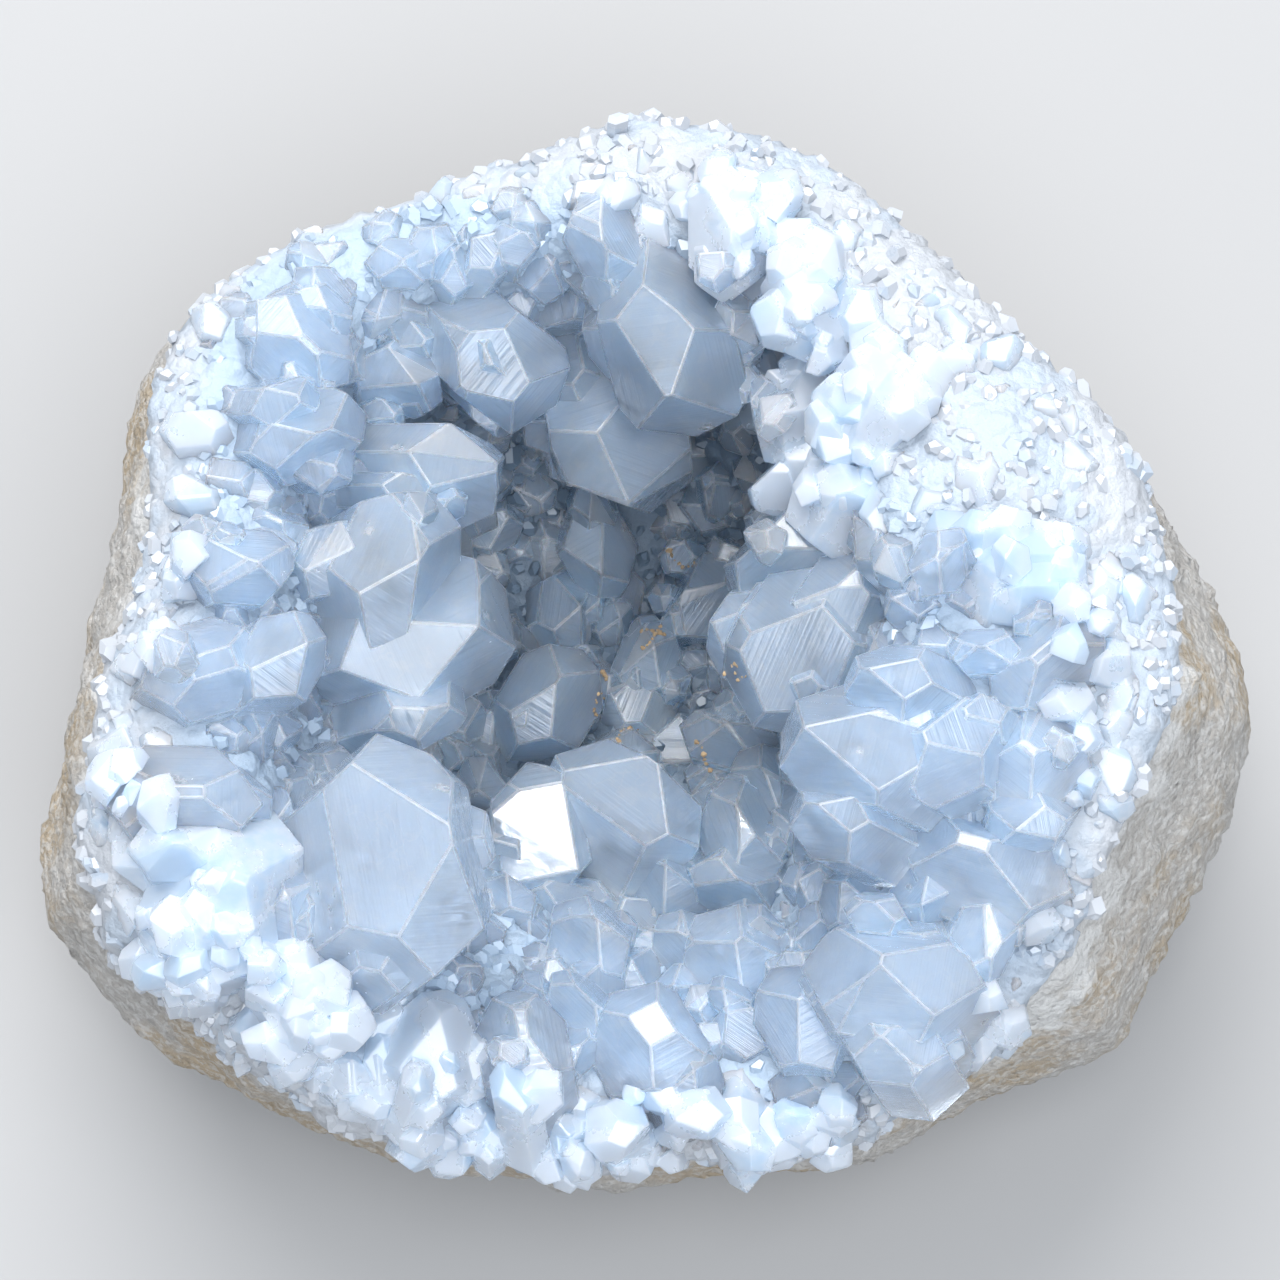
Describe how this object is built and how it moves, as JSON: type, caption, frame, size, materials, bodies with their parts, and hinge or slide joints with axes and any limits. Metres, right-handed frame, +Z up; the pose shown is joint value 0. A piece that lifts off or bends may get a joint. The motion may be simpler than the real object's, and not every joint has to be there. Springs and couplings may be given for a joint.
{
  "type": "celestite geode",
  "caption": "Rough rock bowl with a flat resting spot, its deep off-centre hollow and rim lined with a crust of pale blue blocky celestite crystals.",
  "frame": {"origin": "on the surface that the stone rests on, under the middle of its box", "axes": "+Z up out of the hollow, +X to the broad high side of the rim, +Y to the steep back wall of the hollow"},
  "size_m": [0.0998, 0.0864, 0.0569],
  "materials": {
    "rock": "rough, grainy tan and grey rock, whiter towards the rim",
    "celestite": "milky, pale blue clear crystal with flat glossy faces and frosted patches"
  },
  "bodies": {
    "root": {"matrix": "rock", "crystal_crust": "celestite"}
  },
  "joints": []
}
